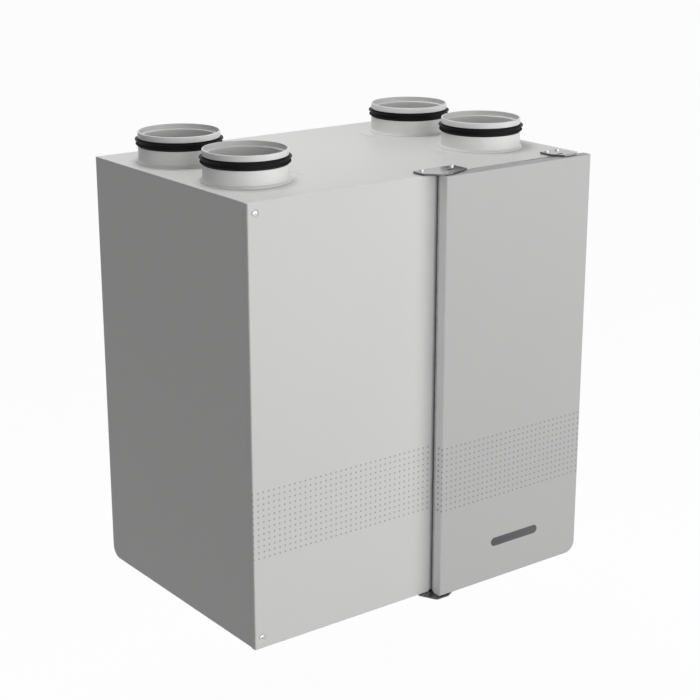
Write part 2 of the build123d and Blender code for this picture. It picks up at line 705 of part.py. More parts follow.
with BuildPart() as right_core:
    with BuildSketch(Plane.YZ.offset(right_block_left)) as block:
        with Locations(((block_front_y + core_back_y) / 2, (core_bottom_z + upper_split_z) / 2)):
            Rectangle(core_back_y - block_front_y, upper_split_z - core_bottom_z)
        fillet(block.vertices().group_by(Axis.X)[-1].sort_by(Axis.Y)[0], lower_back_radius)
    extrude(amount=core_right_x - right_block_left)
    with BuildSketch(facing(cavity_back_y)):
        with Locations((ex, ez)):
            Polygon(*hexagon(exchanger_fit), align=None)
        for hand in (-1, 1):
            with Locations(Location((*filter_centre(hand), 0), (0, 0, -45 * hand))):
                Rectangle(filter_width + 2 * filter_fit, filter_thickness + 2 * filter_fit)
            outer = wall_x - ex
            Polygon(
                (ex + hand * partition, ez + filter_outer - partition - 3),
                (ex + hand * outer, ez + filter_outer - outer - 3),
                (ex + hand * outer, upper_split_z), (ex + hand * partition, upper_split_z),
                align=None)
        Polygon(
            (ex - partition, ez - exchanger_apex + partition), (ex - half + 6, ez - side - 6),
            (right_block_left, ez - side - 6), (right_block_left, chamber_floor),
            (ex - partition, chamber_floor), align=None)
        Polygon(
            (ex + partition, ez - exchanger_apex + partition), (ex + half - 6, ez - side - 6),
            (ex + half - 6, tunnel_low), (right_block_left, tunnel_low),
            (right_block_left, tunnel_high), (ex + partition, tunnel_high), align=None)
    extrude(amount=cavity_back_y - block_front_y, mode=Mode.SUBTRACT)
    bypass_x = (bypass_left, bypass_left + bypass_width)
    bypass_y = (front_y + bypass_setback, bypass_back_y)
    span_box(bypass_x, bypass_y, (tunnel_low, upper_split_z), mode=Mode.SUBTRACT)
    link_y = (cavity_back_y - 1, bypass_back_y)
    span_box(bypass_x, link_y, (tunnel_low, tunnel_high), mode=Mode.SUBTRACT)
    span_box(bypass_x, link_y, (upper_split_z - 40.0, upper_split_z), mode=Mode.SUBTRACT)
    tray_x = (ex - half - 8.0, ex + half + 8.0)
    tray_y = (block_front_y + 12.0, cavity_back_y + 20.0)
    span_box(
        (tray_x[0] - 0.5, tray_x[1] + 0.5), (tray_y[0] - 0.5, tray_y[1] + 0.5),
        (tunnel_low - tray_height, tunnel_low + 0.1), mode=Mode.SUBTRACT)
    upright_bore(drain_x, drain_y, core_bottom_z - 1, tunnel_low, drain_radius + 6.0)
    actuator_x = (bypass_left - 40.0, bypass_left - 4.0)
    actuator_y = (bypass_back_y - 50.0, bypass_back_y + 2.0)
    actuator_z = (ez - 26.0, ez + 26.0)
    span_box(
        (actuator_x[0] - 1, actuator_x[1] + 5), (actuator_y[0] - 1, actuator_y[1] + 1),
        (actuator_z[0] - 1, actuator_z[1] + 1), mode=Mode.SUBTRACT)
save(right_core.part, "right_core")

with BuildPart() as upper_core:
    span_box(
        (right_block_left, core_right_x), (block_front_y, core_back_y),
        (upper_split_z + core_gap, core_top_z))
    out_x, out_y = ports["outdoor"]
    upright_bore(out_x, out_y, core_top_z - spigot_neck, core_top_z + 1, spigot_hole + 0.5)
    upright_bore(out_x, out_y, upper_split_z - 1, core_top_z, spigot_bore)
    ext_x, ext_y = ports["extract"]
    upright_bore(ext_x, ext_y, core_top_z - spigot_neck, core_top_z + 1, spigot_hole + 0.5)
    upright_bore(ext_x, ext_y, upper_split_z + 45.0, core_top_z, spigot_bore)
    cross_z = (upper_split_z + 45.0, core_top_z - 45.0)
    cross_y = (ext_y - spigot_bore, ext_y + spigot_bore)
    span_box((ex - half - 12.0, ext_x), cross_y, cross_z, mode=Mode.SUBTRACT)
    span_box(
        (ex - half - 12.0, ex - partition - 4.0), cross_y, (upper_split_z - 1, cross_z[1]),
        mode=Mode.SUBTRACT)
save(upper_core.part, "upper_core")

with BuildPart() as right_core_cover:
    with BuildSketch(facing(core_front_y + core_cover)):
        with Locations(((right_block_left + core_right_x) / 2, (core_bottom_z + core_top_z) / 2)):
            Rectangle(core_right_x - right_block_left, core_top_z - core_bottom_z)
        with Locations((ex, ez)):
            Polygon(*hexagon(exchanger_fit), align=None, mode=Mode.SUBTRACT)
        for hand in (-1, 1):
            with Locations(Location((*filter_centre(hand), 0), (0, 0, -45 * hand))):
                Rectangle(
                    filter_width + 2 * filter_fit, filter_thickness + 2 * filter_fit,
                    mode=Mode.SUBTRACT)
    extrude(amount=core_cover)
save(right_core_cover.part, "right_core_cover")

# ---------------------------------------------------------------- exchanger
with BuildPart() as exchanger_plates:
    plate_count = int((exchanger_length - 2 * exchanger_end_plate) / exchanger_pitch)
    first_y = exchanger_back_y - exchanger_end_plate - exchanger_pitch / 2
    for index in range(plate_count):
        with BuildSketch(facing(first_y - index * exchanger_pitch, ex, ez)):
            Polygon(*hexagon(-exchanger_rail / 2), align=None)
        extrude(amount=exchanger_plate)
    with BuildSketch(facing(exchanger_back_y - exchanger_end_plate, ex, ez)):
        with Locations(*[(0.88 * x, 0.9 * z) for x, z in hexagon(-exchanger_rail / 2)]):
            Circle(exchanger_rail / 3)
    extrude(amount=exchanger_length - 2 * exchanger_end_plate)
save(exchanger_plates.part, "exchanger_plates")

with BuildPart() as exchanger_end_frames:
    for near_y in (exchanger_back_y, exchanger_front_y + exchanger_end_plate):
        with BuildSketch(facing(near_y, ex, ez)):
            Polygon(*hexagon(0), align=None)
        extrude(amount=exchanger_end_plate)
save(exchanger_end_frames.part, "exchanger_end_frames")

with BuildPart() as exchanger_corner_rails:
    run_y = exchanger_back_y - exchanger_end_plate
    with BuildSketch(facing(run_y, ex, ez)):
        with BuildLine():
            Polyline(*hexagon(0), close=True)
        make_face()
        with BuildLine():
            Polyline(*hexagon(-3.0), close=True)
        make_face(mode=Mode.SUBTRACT)
        window = half * sqrt(2) - 2 * exchanger_rail
        for sx, sz in ((1, 1), (1, -1), (-1, 1), (-1, -1)):
            place = Location((sx * half / 2, sz * (side + half / 2), 0), (0, 0, -45 * sx * sz))
            with Locations(place):
                Rectangle(window, 30.0, mode=Mode.SUBTRACT)
    extrude(amount=exchanger_length - 2 * exchanger_end_plate)
save(exchanger_corner_rails.part, "exchanger_corner_rails")

with BuildPart() as exchanger_strap:
    strap_y = exchanger_front_y
    with BuildSketch(Plane.YZ.offset(ex - 12.5)):
        with BuildLine():
            Polyline((strap_y, ez - 60), (strap_y - 1.4, ez - 60), (strap_y - 1.4, ez - 42))
            ThreePointArc((strap_y - 1.4, ez - 42), (strap_y - 6.0, ez), (strap_y - 1.4, ez + 42))
            Polyline((strap_y - 1.4, ez + 42), (strap_y - 1.4, ez + 60), (strap_y, ez + 60))
            Polyline((strap_y, ez + 60), (strap_y, ez + 40))
            ThreePointArc((strap_y, ez + 40), (strap_y - 4.6, ez), (strap_y, ez - 40))
            Line((strap_y, ez - 40), (strap_y, ez - 60))
        make_face()
    extrude(amount=25.0)
save(exchanger_strap.part, "exchanger_strap")

# ---------------------------------------------------------------- filters
filter_front_y = exchanger_front_y + 2.0
filter_back_y = exchanger_back_y - 2.0
for filter_name, hand in (("extract", -1), ("outdoor", 1)):
    cx, cz = filter_centre(hand)
    slope_plane = Plane(
        origin=(cx, filter_back_y, cz), x_dir=(cos(radians(45)), 0, -hand * sin(radians(45))),
        z_dir=(0, -1, 0))
    depth = filter_back_y - filter_front_y
    with BuildPart() as filter_frame:
        with BuildSketch(slope_plane):
            Rectangle(filter_width, filter_thickness)
            Rectangle(filter_width - 2 * filter_rim, filter_thickness + 2, mode=Mode.SUBTRACT)
        extrude(amount=depth)
        for run in (0, depth - filter_rim):
            with BuildSketch(slope_plane.offset(run)):
                Rectangle(filter_width, filter_thickness)
            extrude(amount=filter_rim)
        with BuildSketch(slope_plane.offset(depth)):
            with Locations((0, -filter_thickness / 4)):
                Rectangle(60.0, 2.0)
        extrude(amount=7.0)
    save(filter_frame.part, f"{filter_name}_filter_frame")
    with BuildPart() as filter_media:
        inner = filter_width - 2 * filter_rim - 1.0
        count = int((depth - 2 * filter_rim - 4.0) / (pleat_pitch))
        rise = filter_thickness - 6.0
        start = filter_rim + 1.0
        with BuildSketch(Plane(
                origin=slope_plane.origin - slope_plane.x_dir * inner / 2,
                x_dir=(0, -1, 0), z_dir=slope_plane.x_dir)):
            peaks = []
            for index in range(2 * count + 1):
                peaks.append((start + index * pleat_pitch / 2, rise / 2 if index % 2 else -rise / 2))
            under = [(x, z - 2.5 * pleat_sheet) for x, z in reversed(peaks)]
            with BuildLine():
                Polyline(*peaks, *under, close=True)
            make_face()
        extrude(amount=inner)
    save(filter_media.part, f"{filter_name}_filter_media")

# ---------------------------------------------------------------- fans
tongue_angle = radians(128.0)
scroll_turn = radians(308.0)


def scroll_face(grow, rise):
    """The scroll's inner outline with its outlet upwards, about the fan axis, grown by a margin."""
    spiral = []
    for step in range(9):
        share = step / 8
        angle = tongue_angle - scroll_turn * share
        radius = scroll_start + scroll_growth * share + grow
        spiral.append((radius * cos(angle), radius * sin(angle)))
    outlet_left = -scroll_start - scroll_growth - grow
    outlet_right = scroll_start * cos(tongue_angle) + grow
    with BuildSketch() as outline:
        with BuildLine():
            Spline(*spiral)
            Line(spiral[-1], spiral[0])
        make_face()
        with Locations(((outlet_left + outlet_right) / 2, rise / 2)):
            Rectangle(outlet_right - outlet_left, rise)
    return outline.sketch


scroll_inside = scroll_face(0, fan_outlet_rise + 5)
scroll_outside = scroll_face(fan_wall, fan_outlet_rise)
scroll_bay = scroll_face(fan_wall + scroll_room, fan_outlet_rise + 5)

fans = {"supply": (front_y + front_fan_setback, 1), "exhaust": (front_y + rear_fan_setback, -1)}
for fan_name, (near_y, inlet_side) in fans.items():
    far_y = near_y + fan_width
    motor_y = near_y + fan_wall if inlet_side > 0 else far_y - fan_wall
    into = inlet_side  # direction from the motor plate to the inlet, along Y
    with BuildPart() as fan_housing:
        with BuildSketch(facing(far_y, fan_x, fan_z)):
            add(scroll_outside)
        extrude(amount=fan_width)
        with BuildSketch(facing(far_y - fan_wall, fan_x, fan_z)):
            add(scroll_inside)
        extrude(amount=fan_width - 2 * fan_wall, mode=Mode.SUBTRACT)
        inlet_plate_y = far_y + 1 if inlet_side > 0 else near_y + fan_wall + 1
        with BuildSketch(facing(inlet_plate_y, fan_x, fan_z)):
            Circle(inlet_radius + 4.0)
        extrude(amount=fan_wall + 2, mode=Mode.SUBTRACT)
        motor_plate_y = near_y + fan_wall + 1 if inlet_side > 0 else far_y + 1
        with BuildSketch(facing(motor_plate_y, fan_x, fan_z)):
            Circle(fan_shaft + 6.0)
        extrude(amount=fan_wall + 2, mode=Mode.SUBTRACT)
    save(fan_housing.part, f"{fan_name}_fan_housing")

    def along(distance, length):
        """Y where an extrusion towards the front starts, so that it covers that stretch."""
        stretch = sorted((motor_y + into * distance, motor_y + into * (distance + length)))
        return stretch[1]

    with BuildPart() as fan_motor:
        with BuildSketch(facing(along(0.3, motor_length), fan_x, fan_z)):
            Circle(motor_radius)
            Circle(fan_shaft + 0.05, mode=Mode.SUBTRACT)
        extrude(amount=motor_length)
        with BuildSketch(facing(along(-fan_wall - 6.0, fan_wall + 6.3), fan_x, fan_z)):
            Circle(fan_shaft + 5.0)
            Circle(fan_shaft + 0.05, mode=Mode.SUBTRACT)
        extrude(amount=fan_wall + 6.3)
    save(fan_motor.part, f"{fan_name}_fan_motor")

    back_plate = 12.0  # impeller back plate above the motor plate
    tip = back_plate + impeller_width
    with BuildPart() as impeller:
        with BuildSketch(facing(along(back_plate, 2.0), fan_x, fan_z)):
            Circle(impeller_radius)
            Circle(impeller_hub - 3.0, mode=Mode.SUBTRACT)
        extrude(amount=2.0)
        with BuildSketch(facing(along(back_plate, motor_length - back_plate + 5.0), fan_x, fan_z)):
            Circle(impeller_hub)
            Circle(impeller_hub - 3.0, mode=Mode.SUBTRACT)
        extrude(amount=motor_length - back_plate + 5.0)
        with BuildSketch(facing(along(motor_length + 2.0, 3.0), fan_x, fan_z)):
            Circle(impeller_hub)
        extrude(amount=3.0)
        with BuildSketch(facing(along(4.0, motor_length - 1.0), fan_x, fan_z)):
            Circle(fan_shaft)
        extrude(amount=motor_length - 1.0)
        with BuildSketch(facing(along(back_plate + 1.0, impeller_width - 1.0), fan_x, fan_z)):
            with PolarLocations(0, blade_count):
                with BuildLine():
                    inner_arc = ThreePointArc(
                        (impeller_hub + 12.0, 0), (impeller_hub + 32.0, -9.0),
                        (impeller_radius - 12.0, -32.0))
                    outer_arc = ThreePointArc(
                        (impeller_hub + 12.0, blade_sheet), (impeller_hub + 33.0, -7.2),
                        (impeller_radius - 10.6, -30.6))
                    Line(inner_arc @ 0, outer_arc @ 0)
                    Line(inner_arc @ 1, outer_arc @ 1)
                make_face()
        extrude(amount=impeller_width - 1.0)
        with BuildSketch(facing(along(tip - 2.0, 2.0), fan_x, fan_z)):
            Circle(impeller_radius)
            Circle(inlet_radius, mode=Mode.SUBTRACT)
        extrude(amount=2.0)
    save(impeller.part, f"{fan_name}_impeller")

# ---------------------------------------------------------------- fan side of the core
left_block_right = core_split_x - core_gap / 2
control_x = (core_left_x + 12.0, core_left_x + 12.0 + control_width)
control_z = (bottom_z + 22.0, bottom_z + 22.0 + control_height)
control_y = (core_front_y + 2.0, core_front_y + 2.0 + control_depth)
cover_bottom_z = control_z[1] + 12.0
plenum_top = fan_z + impeller_radius
outlet_x = (fan_x - scroll_start - scroll_growth - fan_wall, fan_x - 60.0)

with BuildPart() as left_core:
    with BuildSketch(Plane.YZ.offset(core_left_x)) as block:
        with Locations(((block_front_y + core_back_y) / 2, (core_bottom_z + core_top_z) / 2)):
            Rectangle(core_back_y - block_front_y, core_top_z - core_bottom_z)
        fillet(block.vertices().group_by(Axis.X)[-1].sort_by(Axis.Y)[0], lower_back_radius)
    extrude(amount=left_block_right - core_left_x)
    for fan_name, (near_y, inlet_side) in fans.items():
        bay_y = near_y + fan_width + 1.0
        with BuildSketch(facing(bay_y, fan_x, fan_z)):
            add(scroll_bay)
        extrude(amount=fan_width + 2.0, mode=Mode.SUBTRACT)
        motor_near = near_y - 9.0 if inlet_side > 0 else near_y + fan_width
        with BuildSketch(facing(motor_near + 9.0, fan_x, fan_z)):
            Circle(motor_radius)
        extrude(amount=9.0, mode=Mode.SUBTRACT)
        spigot_x, spigot_y = ports[fan_name]
        outlet_y = (near_y, near_y + fan_width)
        span_box(outlet_x, outlet_y, (fan_z + fan_outlet_rise - 1, core_top_z - 60.0), mode=Mode.SUBTRACT)
        upright_bore(spigot_x, spigot_y, core_top_z - 90.0, core_top_z, spigot_bore - 4.0)
        upright_bore(spigot_x, spigot_y, core_top_z - spigot_neck, core_top_z + 1, spigot_hole + 0.5)
    front_plenum = (front_y + front_fan_setback + fan_width, front_y + front_fan_setback + fan_width + 80.0)
    rear_plenum = (front_y + rear_fan_setback - 80.0, front_y + rear_fan_setback)
    bay_x = (fan_x - impeller_radius, fan_x + impeller_radius)
    span_box((bay_x[0], left_block_right), front_plenum, (chamber_floor, plenum_top), mode=Mode.SUBTRACT)
    span_box(bay_x, rear_plenum, (tunnel_low, plenum_top), mode=Mode.SUBTRACT)
    span_box((bay_x[1] - 1, left_block_right), rear_plenum, (tunnel_low, tunnel_high), mode=Mode.SUBTRACT)
    span_box(
        (control_x[0] - 8.0, control_x[1] + 8.0), (block_front_y - 1, control_y[1] + 4.0),
        (core_bottom_z - 1, cover_bottom_z), mode=Mode.SUBTRACT)
save(left_core.part, "left_core")

with BuildPart() as left_core_cover:
    span_box(
        (core_left_x, left_block_right), (core_front_y, core_front_y + core_cover),
        (cover_bottom_z, core_top_z))
save(left_core_cover.part, "left_core_cover")

# ---------------------------------------------------------------- bypass
flap_z = ez
frame_wall = 4.0
with BuildPart() as bypass_frame:
    inset = 0.5
    span_box(
        (bypass_x[0] + inset, bypass_x[1] - inset), (bypass_y[0] + inset, bypass_y[1] - inset),
        (flap_z - bypass_frame_height / 2, flap_z + bypass_frame_height / 2))
    span_box(
        (bypass_x[0] + frame_wall, bypass_x[1] - frame_wall),
        (bypass_y[0] + frame_wall, bypass_y[1] - frame_wall),
        (flap_z - bypass_frame_height, flap_z + bypass_frame_height), mode=Mode.SUBTRACT)
    shaft_y = bypass_y[1] - frame_wall - flap_shaft - flap_fit
    with BuildSketch(Plane.YZ.offset(bypass_x[0] - 1)):
        with Locations((shaft_y, flap_z)):
            Circle(flap_shaft + pin_fit)
    extrude(amount=bypass_width + 2, mode=Mode.SUBTRACT)
save(bypass_frame.part, "bypass_frame")

with BuildPart() as bypass_flap:
    flap_x = (bypass_x[0] + frame_wall + flap_fit, bypass_x[1] - frame_wall - flap_fit)
    span_box(
        flap_x, (bypass_y[0] + frame_wall + flap_fit, shaft_y),
        (flap_z - flap_sheet / 2, flap_z + flap_sheet / 2))
    with BuildSketch(Plane.YZ.offset(actuator_x[1] - 10.0)):
        with Locations((shaft_y, flap_z)):
            Circle(flap_shaft)
    extrude(amount=bypass_x[1] - frame_wall / 2 - actuator_x[1] + 10.0)
save(bypass_flap.part, "bypass_flap")

with BuildPart() as bypass_actuator:
    span_box(actuator_x, actuator_y, actuator_z)
    fillet(bypass_actuator.edges().filter_by(Axis.X), 4.0)
    with BuildSketch(Plane.YZ.offset(actuator_x[1] - 12.0)):
        with Locations((shaft_y, flap_z)):
            Circle(flap_shaft + pin_fit)
    extrude(amount=13.0, mode=Mode.SUBTRACT)
save(bypass_actuator.part, "bypass_actuator")

# ---------------------------------------------------------------- condensate drain
with BuildPart() as condensate_tray:
    tray_z = (tunnel_low - tray_height + 0.5, tunnel_low)
    span_box(tray_x, tray_y, tray_z)
    span_box(
        (tray_x[0] + tray_wall, tray_x[1] - tray_wall), (tray_y[0] + tray_wall, tray_y[1] - tray_wall),
        (tray_z[0] + tray_wall, tray_z[1] + 1), mode=Mode.SUBTRACT)
    upright_bore(drain_x, drain_y, tray_z[0] - 1, tray_z[1], drain_radius - drain_wall)
save(condensate_tray.part, "condensate_tray")

with BuildPart() as drain_socket:
    socket_top = tray_z[0] - 0.2
    upright_bore(drain_x, drain_y, bottom_z - drain_drop, socket_top, drain_radius, mode=Mode.ADD)
    upright_bore(drain_x, drain_y, bottom_z - 3.2, socket_top, drain_radius + 1.5, mode=Mode.ADD)
    upright_bore(drain_x, drain_y, socket_top - 3.0, socket_top, drain_radius + 4.0, mode=Mode.ADD)
    upright_bore(drain_x, drain_y, bottom_z - drain_drop - 1, socket_top + 1, drain_radius - drain_wall)
    end_edges = drain_socket.faces().sort_by(Axis.Z)[0].outer_wire().edges()
    chamfer(end_edges, 0.8)
save(drain_socket.part, "drain_socket")

with BuildPart() as drain_grommet:
    upright_bore(drain_x, drain_y, bottom_z - 2.5, bottom_z - 0.3, drain_radius + 6.0, mode=Mode.ADD)
    upright_bore(drain_x, drain_y, bottom_z - 0.3, bottom_z + sheet + 0.4, drain_radius + 2.9, mode=Mode.ADD)
    upright_bore(drain_x, drain_y, bottom_z - 3, bottom_z + 3, drain_radius + 1.6)
save(drain_grommet.part, "drain_grommet")

# ---------------------------------------------------------------- control unit
with BuildPart() as control_box:
    span_box(control_x, control_y, control_z)
    inner_x = (control_x[0] + control_wall, control_x[1] - control_wall)
    inner_z = (control_z[0] + control_wall, control_z[1] - control_wall)
    span_box(inner_x, (control_y[0] - 1, control_y[1] - control_wall), inner_z, mode=Mode.SUBTRACT)
    upright_bore(gland_x, gland_y, control_z[0] - 1, control_z[0] + control_wall + 1, gland_radius + 3.0)
save(control_box.part, "control_box")

board_y = control_y[1] - control_wall - 10.0
with BuildPart() as control_board:
    span_box((inner_x[0] + 6, inner_x[1] - 6), (board_y, board_y + 1.6), (inner_z[0] + 6, inner_z[1] - 6))
    for index in range(4):
        span_box(
            (inner_x[0] + 80 + index * 44, inner_x[0] + 112 + index * 44),
            (board_y - 14.0, board_y), (inner_z[1] - 46.0, inner_z[1] - 18.0))
    for index in range(9):
        span_box(
            (inner_x[0] + 96 + index * 19, inner_x[0] + 112 + index * 19),
            (board_y - 11.0, board_y), (inner_z[0] + 10, inner_z[0] + 26))
save(control_board.part, "control_board")

with BuildPart() as cable_gland:
    floor_z = bottom_z + sheet
    upright_bore(gland_x, gland_y, bottom_z - 2, floor_z + 8.0, gland_radius, mode=Mode.ADD)
    with BuildSketch(Plane.XY.offset(bottom_z - 8.0)):
        with Locations((gland_x, gland_y)):
            RegularPolygon(gland_radius + 4.0, 6)
    extrude(amount=8.0)
    with BuildSketch(Plane.XY.offset(floor_z)):
        with Locations((gland_x, gland_y)):
            RegularPolygon(gland_radius + 4.0, 6)
    extrude(amount=5.0)
    upright_bore(gland_x, gland_y, bottom_z - gland_drop, bottom_z - 8.0, gland_radius + 1.0, mode=Mode.ADD)
    fillet(cable_gland.faces().sort_by(Axis.Z)[0].edges(), 3.0)
    upright_bore(gland_x, gland_y, bottom_z - gland_drop - 1, floor_z + 9.0, gland_bore)
save(cable_gland.part, "cable_gland")
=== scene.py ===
import json
import math

import bmesh
import bpy
from mathutils import Matrix, Vector


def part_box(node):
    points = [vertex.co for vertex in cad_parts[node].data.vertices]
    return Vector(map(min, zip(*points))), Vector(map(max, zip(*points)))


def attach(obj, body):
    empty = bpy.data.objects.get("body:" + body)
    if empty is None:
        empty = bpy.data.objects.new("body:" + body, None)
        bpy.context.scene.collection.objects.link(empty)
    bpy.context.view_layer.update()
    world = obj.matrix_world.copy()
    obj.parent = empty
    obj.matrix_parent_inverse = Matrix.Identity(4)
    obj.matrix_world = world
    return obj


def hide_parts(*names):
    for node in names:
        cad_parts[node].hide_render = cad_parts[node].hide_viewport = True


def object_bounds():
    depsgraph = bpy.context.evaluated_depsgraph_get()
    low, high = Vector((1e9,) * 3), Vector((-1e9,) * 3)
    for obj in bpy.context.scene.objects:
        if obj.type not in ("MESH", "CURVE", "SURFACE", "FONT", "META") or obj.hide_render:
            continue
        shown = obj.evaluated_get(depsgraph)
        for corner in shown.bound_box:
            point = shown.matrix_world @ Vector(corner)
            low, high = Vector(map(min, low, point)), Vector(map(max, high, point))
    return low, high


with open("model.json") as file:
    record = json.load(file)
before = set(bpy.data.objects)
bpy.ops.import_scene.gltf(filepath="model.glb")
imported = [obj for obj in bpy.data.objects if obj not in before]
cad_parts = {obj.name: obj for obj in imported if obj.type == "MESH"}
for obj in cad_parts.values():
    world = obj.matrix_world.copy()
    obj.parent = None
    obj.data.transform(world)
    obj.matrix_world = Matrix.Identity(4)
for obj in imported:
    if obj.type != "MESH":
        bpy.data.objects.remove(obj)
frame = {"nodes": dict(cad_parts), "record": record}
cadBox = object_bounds()
nodes = frame["nodes"]
print("frame loaded:", len(nodes), "nodes")

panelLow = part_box("front_panel")[0]
doorLow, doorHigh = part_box("door_skin")
topLow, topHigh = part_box("top_panel")
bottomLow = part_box("bottom_panel")[0]


# ---- camera
cameraSettings = {
    "place": (-1.8097, -2.7024, 0.665),
    "turn": -36.97,  # degrees round the unit from straight ahead
    "rise": 17.44,
    "lens": 85.5,
}


def makeCamera(settings):
    data = bpy.data.cameras.new("camera")
    camera = bpy.data.objects.new("camera", data)
    bpy.context.collection.objects.link(camera)
    turn, rise = math.radians(settings["turn"]), math.radians(settings["rise"])
    back = Vector((math.sin(turn) * math.cos(rise), -math.cos(turn) * math.cos(rise), math.sin(rise)))
    camera.location = settings["place"]
    camera.rotation_mode = "QUATERNION"
    camera.rotation_quaternion = (-back).to_track_quat("-Z", "Y")
    data.lens = settings["lens"]
    data.sensor_width = 36.0
    data.clip_start, data.clip_end = 0.05, 60.0
    bpy.context.scene.camera = camera
    bpy.context.scene.view_settings.view_transform = "Standard"


makeCamera(cameraSettings)
print("camera placed")


# ---- shader maths
class Wire:
    # one output socket; arithmetic on it adds Math nodes to its finish
    def __init__(self, finish, socket):
        self.finish = finish
        self.socket = socket

    def maths(self, operation, *values):
        return self.finish.node("ShaderNodeMath", {"operation": operation}, dict(enumerate(values)))

    def __add__(self, other):
        return self.maths("ADD", self, other)

    def __radd__(self, other):
        return self.maths("ADD", other, self)

    def __sub__(self, other):
        return self.maths("SUBTRACT", self, other)

    def __rsub__(self, other):
        return self.maths("SUBTRACT", other, self)

    def __mul__(self, other):
        return self.maths("MULTIPLY", self, other)

    def __rmul__(self, other):
        return self.maths("MULTIPLY", other, self)

    def __truediv__(self, other):
        return self.maths("DIVIDE", self, other)

    def __rtruediv__(self, other):
        return self.maths("DIVIDE", other, self)

    def __pow__(self, other):
        return self.maths("POWER", self, other)

    def __neg__(self):
        return self.maths("MULTIPLY", self, -1.0)

    def __lt__(self, other):
        return self.maths("LESS_THAN", self, other)

    def __gt__(self, other):
        return self.maths("GREATER_THAN", self, other)

    def fraction(self):
        return self.maths("FRACT", self)

    def size(self):
        return self.maths("ABSOLUTE", self)

    def root(self):
        return self.maths("SQRT", self)

    def sine(self):
        return self.maths("SINE", self)

    def atLeast(self, other):
        return self.maths("MAXIMUM", self, other)

    def eased(self, low, high, start=0.0, end=1.0):
        sockets = {"Value": self, "From Min": low, "From Max": high, "To Min": start, "To Max": end}
        return self.finish.node("ShaderNodeMapRange", {"interpolation_type": "SMOOTHSTEP"}, sockets)

    def part(self, axis):
        split = self.finish.node("ShaderNodeSeparateXYZ", {}, {"Vector": self})
        return Wire(self.finish, split.socket.node.outputs["XYZ".index(axis)])


class Finish:
    def __init__(self, name, **constants):
        self.material = bpy.data.materials.new(name)
        self.material.use_nodes = True
        self.tree = self.material.node_tree
        self.shader = self.tree.nodes["Principled BSDF"]
        for socket, value in constants.items():
            self.shader.inputs[socket.replace("_", " ")].default_value = value
        place = self.node("ShaderNodeTexCoord", {}, {}, "Object")
        self.place = place
        self.facing = Wire(self, place.socket.node.outputs["Normal"])

    def node(self, kind, settings, sockets, outlet=0):
        made = self.tree.nodes.new(kind)
        for name, value in settings.items():
            setattr(made, name, value)
        for key, value in sockets.items():
            if isinstance(value, Wire):
                self.tree.links.new(value.socket, made.inputs[key])
            else:
                made.inputs[key].default_value = value
        return Wire(self, made.outputs[outlet])

    def feed(self, socket, wire):
        self.tree.links.new(wire.socket, self.shader.inputs[socket])

    def noise(self, scale, detail=2.0, roughness=0.5, place=None):
        sockets = {"Vector": place or self.place, "Scale": scale, "Detail": detail, "Roughness": roughness}
        return self.node("ShaderNodeTexNoise", {}, sockets, "Fac")

    def cells(self, scale, feature="F1", outlet="Distance", spread=1.0):
        sockets = {"Vector": self.place, "Scale": scale, "Randomness": spread}
        return self.node("ShaderNodeTexVoronoi", {"feature": feature}, sockets, outlet)

    def mix(self, amount, first, second):
        sockets = {0: amount, 6: self.colour(first), 7: self.colour(second)}
        return self.node("ShaderNodeMix", {"data_type": "RGBA", "clamp_factor": True}, sockets, 2)

    def colour(self, value):
        return value if isinstance(value, Wire) else (*value, 1.0)

    def stretched(self, scale):
        return self.node("ShaderNodeMapping", {}, {"Vector": self.place, "Scale": scale})

    def bump(self, height, depth, strength):
        return self.node("ShaderNodeBump", {}, {"Height": height, "Distance": depth, "Strength": strength})


def shade(colour, factor):
    return tuple(channel * factor for channel in colour)


# ---- finishes
powderValues = {
    "peelScale": 620.0,  # cells per metre
    "peelDepth": 0.00006,
    "speckScale": 2600.0,
    "cloudScale": 3.5,
    "cloudShare": 0.02,
    "roughness": 0.46,
}
dotValues = {
    "pitch": 0.011,
    "rows": 12,
    "rise": 0.170,  # first row above the casing's bottom
    "radius": 0.0019,
    "soft": 0.0006,
    "darkness": 0.60,
}


def powderCoat(name, colour, dots=None, edges=()):
    # satin powder coat: orange peel, fine specks and a very slow drift in tone;
    # edges holds pairs of a face mask and a flat tone painted on those faces: painted light or painted shade
    # by which way the faces point
    values = powderValues
    finish = Finish(name, Specular_IOR_Level=0.42)
    cloud = finish.noise(values["cloudScale"], 3.0)
    speck = finish.noise(values["speckScale"], 1.0)
    tone = finish.mix(cloud, shade(colour, 1 - values["cloudShare"]), shade(colour, 1 + values["cloudShare"]))
    # painted light and painted shade: faces that point one way get their own flat tone
    for faces, paintedTone in edges:
        tone = finish.mix(faces(finish), tone, paintedTone)
    tone = finish.mix((speck - 0.5) * 0.12 + 0.06, tone, shade(colour, 0.86))
    roughness = values["roughness"] + (speck - 0.5) * 0.10 + (cloud - 0.5) * 0.05
    peel = finish.noise(values["peelScale"], 2.0, 0.55)
    height = peel
    if dots:
        mask = dots(finish)
        tone = finish.mix(mask, tone, shade(colour, dotValues["darkness"]))
        roughness = roughness + mask * 0.12
        height = peel - mask * 0.8
    finish.feed("Base Color", tone)
    finish.feed("Roughness", roughness)
    finish.feed("Normal", finish.bump(height, values["peelDepth"], 0.7))
    return finish.material


def dotBand(along, faces):
    # rows of small printed dots; along gives the running length over the surface
    def mask(finish):
        values = dotValues
        pitch = values["pitch"]
        first = bottomLow.z + values["rise"]
        up = (finish.place.part("Z") - first) / pitch
        column = (along(finish) / pitch + 0.5).fraction() - 0.5
        row = (up + 0.5).fraction() - 0.5
        reach = (column * column + row * row).root() * pitch
        radius, soft = values["radius"], values["soft"]
        dot = reach.eased(radius - soft, radius + soft, 1.0, 0.0)
        band = (up > -0.5) * (up < values["rows"] - 0.5)
        return dot * band * faces(finish)
    return mask


def panelRun(finish):
    return finish.place.part("X") - panelLow.x


